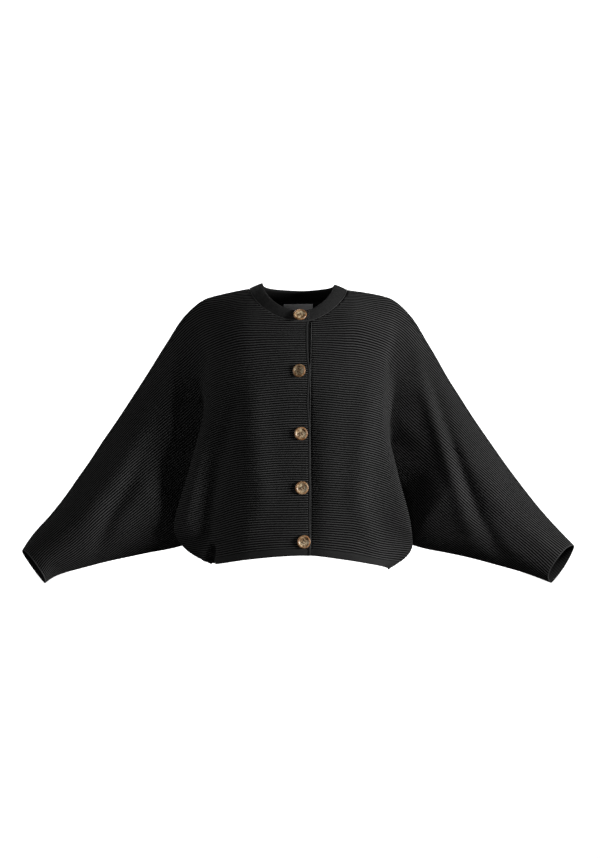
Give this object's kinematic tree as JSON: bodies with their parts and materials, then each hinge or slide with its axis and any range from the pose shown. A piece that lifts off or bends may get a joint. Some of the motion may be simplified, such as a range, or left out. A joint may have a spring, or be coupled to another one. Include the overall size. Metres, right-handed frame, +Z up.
{
  "type": "batwing cardigan",
  "caption": "Black rib-knit batwing cardigan, filled out as worn: wide sleeves knitted in one with the body, ribs fanning to the cuffs, round neckband and horn-look front buttons.",
  "frame": {"origin": "between the two neck points, on the middle plane, where the wearer's shoulders hold the cardigan", "axes": "+Z up, the front faces -Y, +X towards the wearer's left"},
  "size_m": [1.05, 0.241, 0.5683],
  "materials": {
    "rib_knit": "matte",
    "fine_knit": "matte",
    "woven_label": "satin",
    "horn_resin": "glossy"
  },
  "bodies": {
    "root": {"right_front": "rib_knit", "left_front": "rib_knit", "back": "rib_knit", "neckband": "fine_knit", "label": "woven_label", "button_1": "horn_resin", "button_2": "horn_resin", "button_3": "horn_resin", "button_4": "horn_resin", "button_5": "horn_resin"}
  },
  "joints": []
}
